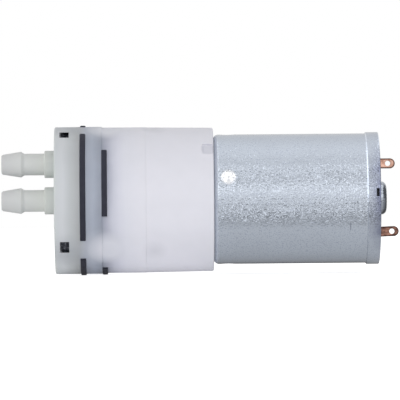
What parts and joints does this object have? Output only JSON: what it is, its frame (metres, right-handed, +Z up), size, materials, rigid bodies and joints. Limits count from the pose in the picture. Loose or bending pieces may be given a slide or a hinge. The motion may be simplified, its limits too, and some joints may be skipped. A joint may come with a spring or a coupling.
{
  "type": "micro vacuum pump",
  "caption": "Small round diaphragm vacuum pump with a wobble plate drive, hose barbs on the front face, and a brushed DC can motor with solder tags at the rear.",
  "frame": {"origin": "on the pump's axis, halfway along the plain round part of the motor can", "axes": "+X along the axis from the hose barbs to the solder tags, +Z up, from the axis towards the second hose barb and the upper solder tag, +Y away from the camera of the picture"},
  "size_m": [0.0748, 0.0282, 0.0282],
  "materials": {
    "natural_nylon": "injection moulded, milky and slightly translucent",
    "black_rubber": "moulded matt rubber",
    "acetal": "injection moulded, satin",
    "ground_steel": "ground",
    "brass": "turned",
    "black_oxide_steel": "black oxide",
    "zinc_steel": "drawn steel, zinc plated",
    "bronze": "sintered",
    "fibre": "hard fibre",
    "sheet_steel": "stacked sheets",
    "enamelled_copper": "enamelled wire",
    "phenolic": "moulded",
    "bare_copper": "stamped strip",
    "tarnished_copper": "stamped strip, tarnished",
    "ferrite": "sintered and ground",
    "spring_steel": "bent strip",
    "carbon": "pressed carbon and copper"
  },
  "bodies": {
    "housing": {"front_cover": "natural_nylon", "valve_plate": "natural_nylon", "cylinder_body": "natural_nylon", "motor_bracket": "natural_nylon", "cover_gasket": "black_rubber", "diaphragm": "black_rubber", "inlet_valves": "black_rubber", "outlet_valve": "black_rubber", "assembly_screws": "black_oxide_steel", "screw_washers": "black_oxide_steel", "motor_screws": "zinc_steel", "motor_can": "zinc_steel", "end_plate": "zinc_steel", "front_bearing": "bronze", "rear_bearing": "bronze", "magnets": "ferrite", "magnet_spring": "spring_steel", "brush_holder": "phenolic", "upper_tag": "bare_copper", "lower_tag": "tarnished_copper", "brush_arms": "bare_copper", "brushes": "carbon"},
    "rotor": {"shaft": "ground_steel", "eccentric": "brass", "drive_pin": "ground_steel", "spacers": "fibre", "rotor_core": "sheet_steel", "windings": "enamelled_copper", "commutator_core": "phenolic", "commutator_bars": "bare_copper"},
    "wobble": {"wobble_plate": "acetal"}
  },
  "joints": [
    {"name": "rotor_spin", "type": "hinge", "parent": "housing", "child": "rotor", "pos_m": [0, 0, 0], "axis": [1, 0, 0], "continuous": true},
    {"name": "wobble_nutation", "type": "hinge", "parent": "rotor", "child": "wobble", "pos_m": [-0.02865, 0, 0], "axis": [0.9903, 0.1001, 0.0967], "continuous": true, "deforming": ["diaphragm"]}
  ],
  "couplings": [
    {"joint": "wobble_nutation", "follows": "rotor_spin", "ratio": -1}
  ]
}
